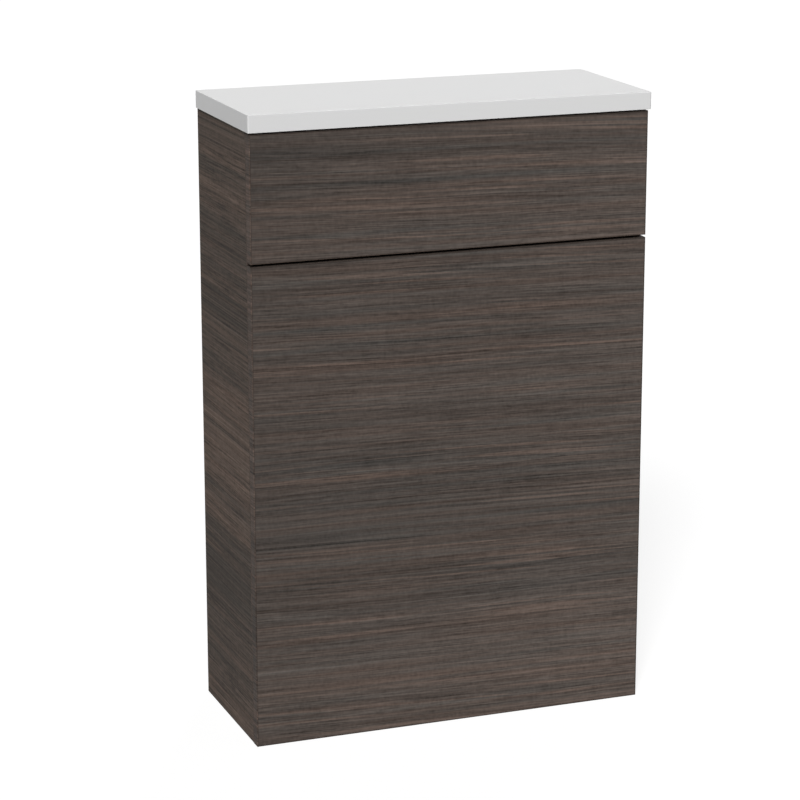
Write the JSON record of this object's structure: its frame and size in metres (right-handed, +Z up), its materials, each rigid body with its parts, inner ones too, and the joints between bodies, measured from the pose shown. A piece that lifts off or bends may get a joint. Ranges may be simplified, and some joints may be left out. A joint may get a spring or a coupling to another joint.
{
  "type": "back-to-wall toilet unit",
  "caption": "Slim floor-standing case that hides a toilet cistern, with a lift-off worktop, a clip-on access panel above a fixed front, an open back and levelling feet.",
  "frame": {"origin": "centre of the base, on the floor", "axes": "+Z up, +Y towards the wall behind the unit, +X to the right of someone facing its front"},
  "size_m": [0.505, 0.2064, 0.765],
  "materials": {
    "decor_board": "matt grey-brown horizontal wood grain on particle board",
    "edging": "matt plastic edging with the same grain",
    "worktop": "satin white lacquer on fibreboard",
    "beech": "plain fluted hardwood",
    "zinc": "dull zinc",
    "steel": "bright zinc-plated steel",
    "white_nylon": "off-white moulded plastic",
    "dark_nylon": "black moulded plastic"
  },
  "bodies": {
    "case": {"left_side_panel": "decor_board", "right_side_panel": "decor_board", "top_front_rail": "decor_board", "mid_front_rail": "decor_board", "bottom_front_rail": "decor_board", "top_rear_rail": "decor_board", "bottom_rear_rail": "decor_board", "lower_front_panel": "decor_board", "left_side_edging": "edging", "right_side_edging": "edging", "lower_front_edging": "edging", "wooden_dowels": "beech", "cam_discs": "zinc", "left_wall_bracket": "zinc", "right_wall_bracket": "zinc", "cam_bolts": "steel", "lower_panel_screws": "steel", "corner_block_screws": "steel", "wall_bracket_screws": "steel", "foot_bracket_screws": "steel", "access_panel_sockets": "white_nylon", "corner_blocks": "white_nylon", "front_left_foot_bracket": "dark_nylon", "front_right_foot_bracket": "dark_nylon", "rear_left_foot_bracket": "dark_nylon", "rear_right_foot_bracket": "dark_nylon"},
    "worktop": {"worktop": "worktop", "worktop_pegs": "beech"},
    "access_panel": {"upper_front_panel": "decor_board", "upper_front_edging": "edging", "access_panel_studs": "white_nylon"},
    "front_left_foot_pad": {"front_left_foot_pad": "dark_nylon"},
    "front_left_foot_stem": {"front_left_foot_stem": "steel"},
    "front_right_foot_pad": {"front_right_foot_pad": "dark_nylon"},
    "front_right_foot_stem": {"front_right_foot_stem": "steel"},
    "rear_left_foot_pad": {"rear_left_foot_pad": "dark_nylon"},
    "rear_left_foot_stem": {"rear_left_foot_stem": "steel"},
    "rear_right_foot_pad": {"rear_right_foot_pad": "dark_nylon"},
    "rear_right_foot_stem": {"rear_right_foot_stem": "steel"}
  },
  "joints": [
    {"name": "worktop_lift", "type": "slide", "parent": "case", "child": "worktop", "axis": [0, 0, 1], "range_m": [0, 0.06]},
    {"name": "access_panel_pull", "type": "slide", "parent": "case", "child": "access_panel", "axis": [0, -1, 0], "range_m": [0, 0.06]},
    {"name": "front_left_foot_drop", "type": "slide", "parent": "case", "child": "front_left_foot_pad", "axis": [0, 0, -1], "range_m": [0, 0.012]},
    {"name": "front_left_foot_turn", "type": "hinge", "parent": "front_left_foot_pad", "child": "front_left_foot_stem", "pos_m": [-0.215, -0.03975, 0], "axis": [0, 0, -1], "range_deg": [0, 3456]},
    {"name": "front_right_foot_drop", "type": "slide", "parent": "case", "child": "front_right_foot_pad", "axis": [0, 0, -1], "range_m": [0, 0.012]},
    {"name": "front_right_foot_turn", "type": "hinge", "parent": "front_right_foot_pad", "child": "front_right_foot_stem", "pos_m": [0.215, -0.03975, 0], "axis": [0, 0, -1], "range_deg": [0, 3456]},
    {"name": "rear_left_foot_drop", "type": "slide", "parent": "case", "child": "rear_left_foot_pad", "axis": [0, 0, -1], "range_m": [0, 0.012]},
    {"name": "rear_left_foot_turn", "type": "hinge", "parent": "rear_left_foot_pad", "child": "rear_left_foot_stem", "pos_m": [-0.215, 0.05825, 0], "axis": [0, 0, -1], "range_deg": [0, 3456]},
    {"name": "rear_right_foot_drop", "type": "slide", "parent": "case", "child": "rear_right_foot_pad", "axis": [0, 0, -1], "range_m": [0, 0.012]},
    {"name": "rear_right_foot_turn", "type": "hinge", "parent": "rear_right_foot_pad", "child": "rear_right_foot_stem", "pos_m": [0.215, 0.05825, 0], "axis": [0, 0, -1], "range_deg": [0, 3456]}
  ],
  "couplings": [
    {"joint": "front_left_foot_turn", "follows": "front_left_foot_drop", "rad_per_m": 5026.5},
    {"joint": "front_right_foot_turn", "follows": "front_right_foot_drop", "rad_per_m": 5026.5},
    {"joint": "rear_left_foot_turn", "follows": "rear_left_foot_drop", "rad_per_m": 5026.5},
    {"joint": "rear_right_foot_turn", "follows": "rear_right_foot_drop", "rad_per_m": 5026.5}
  ]
}
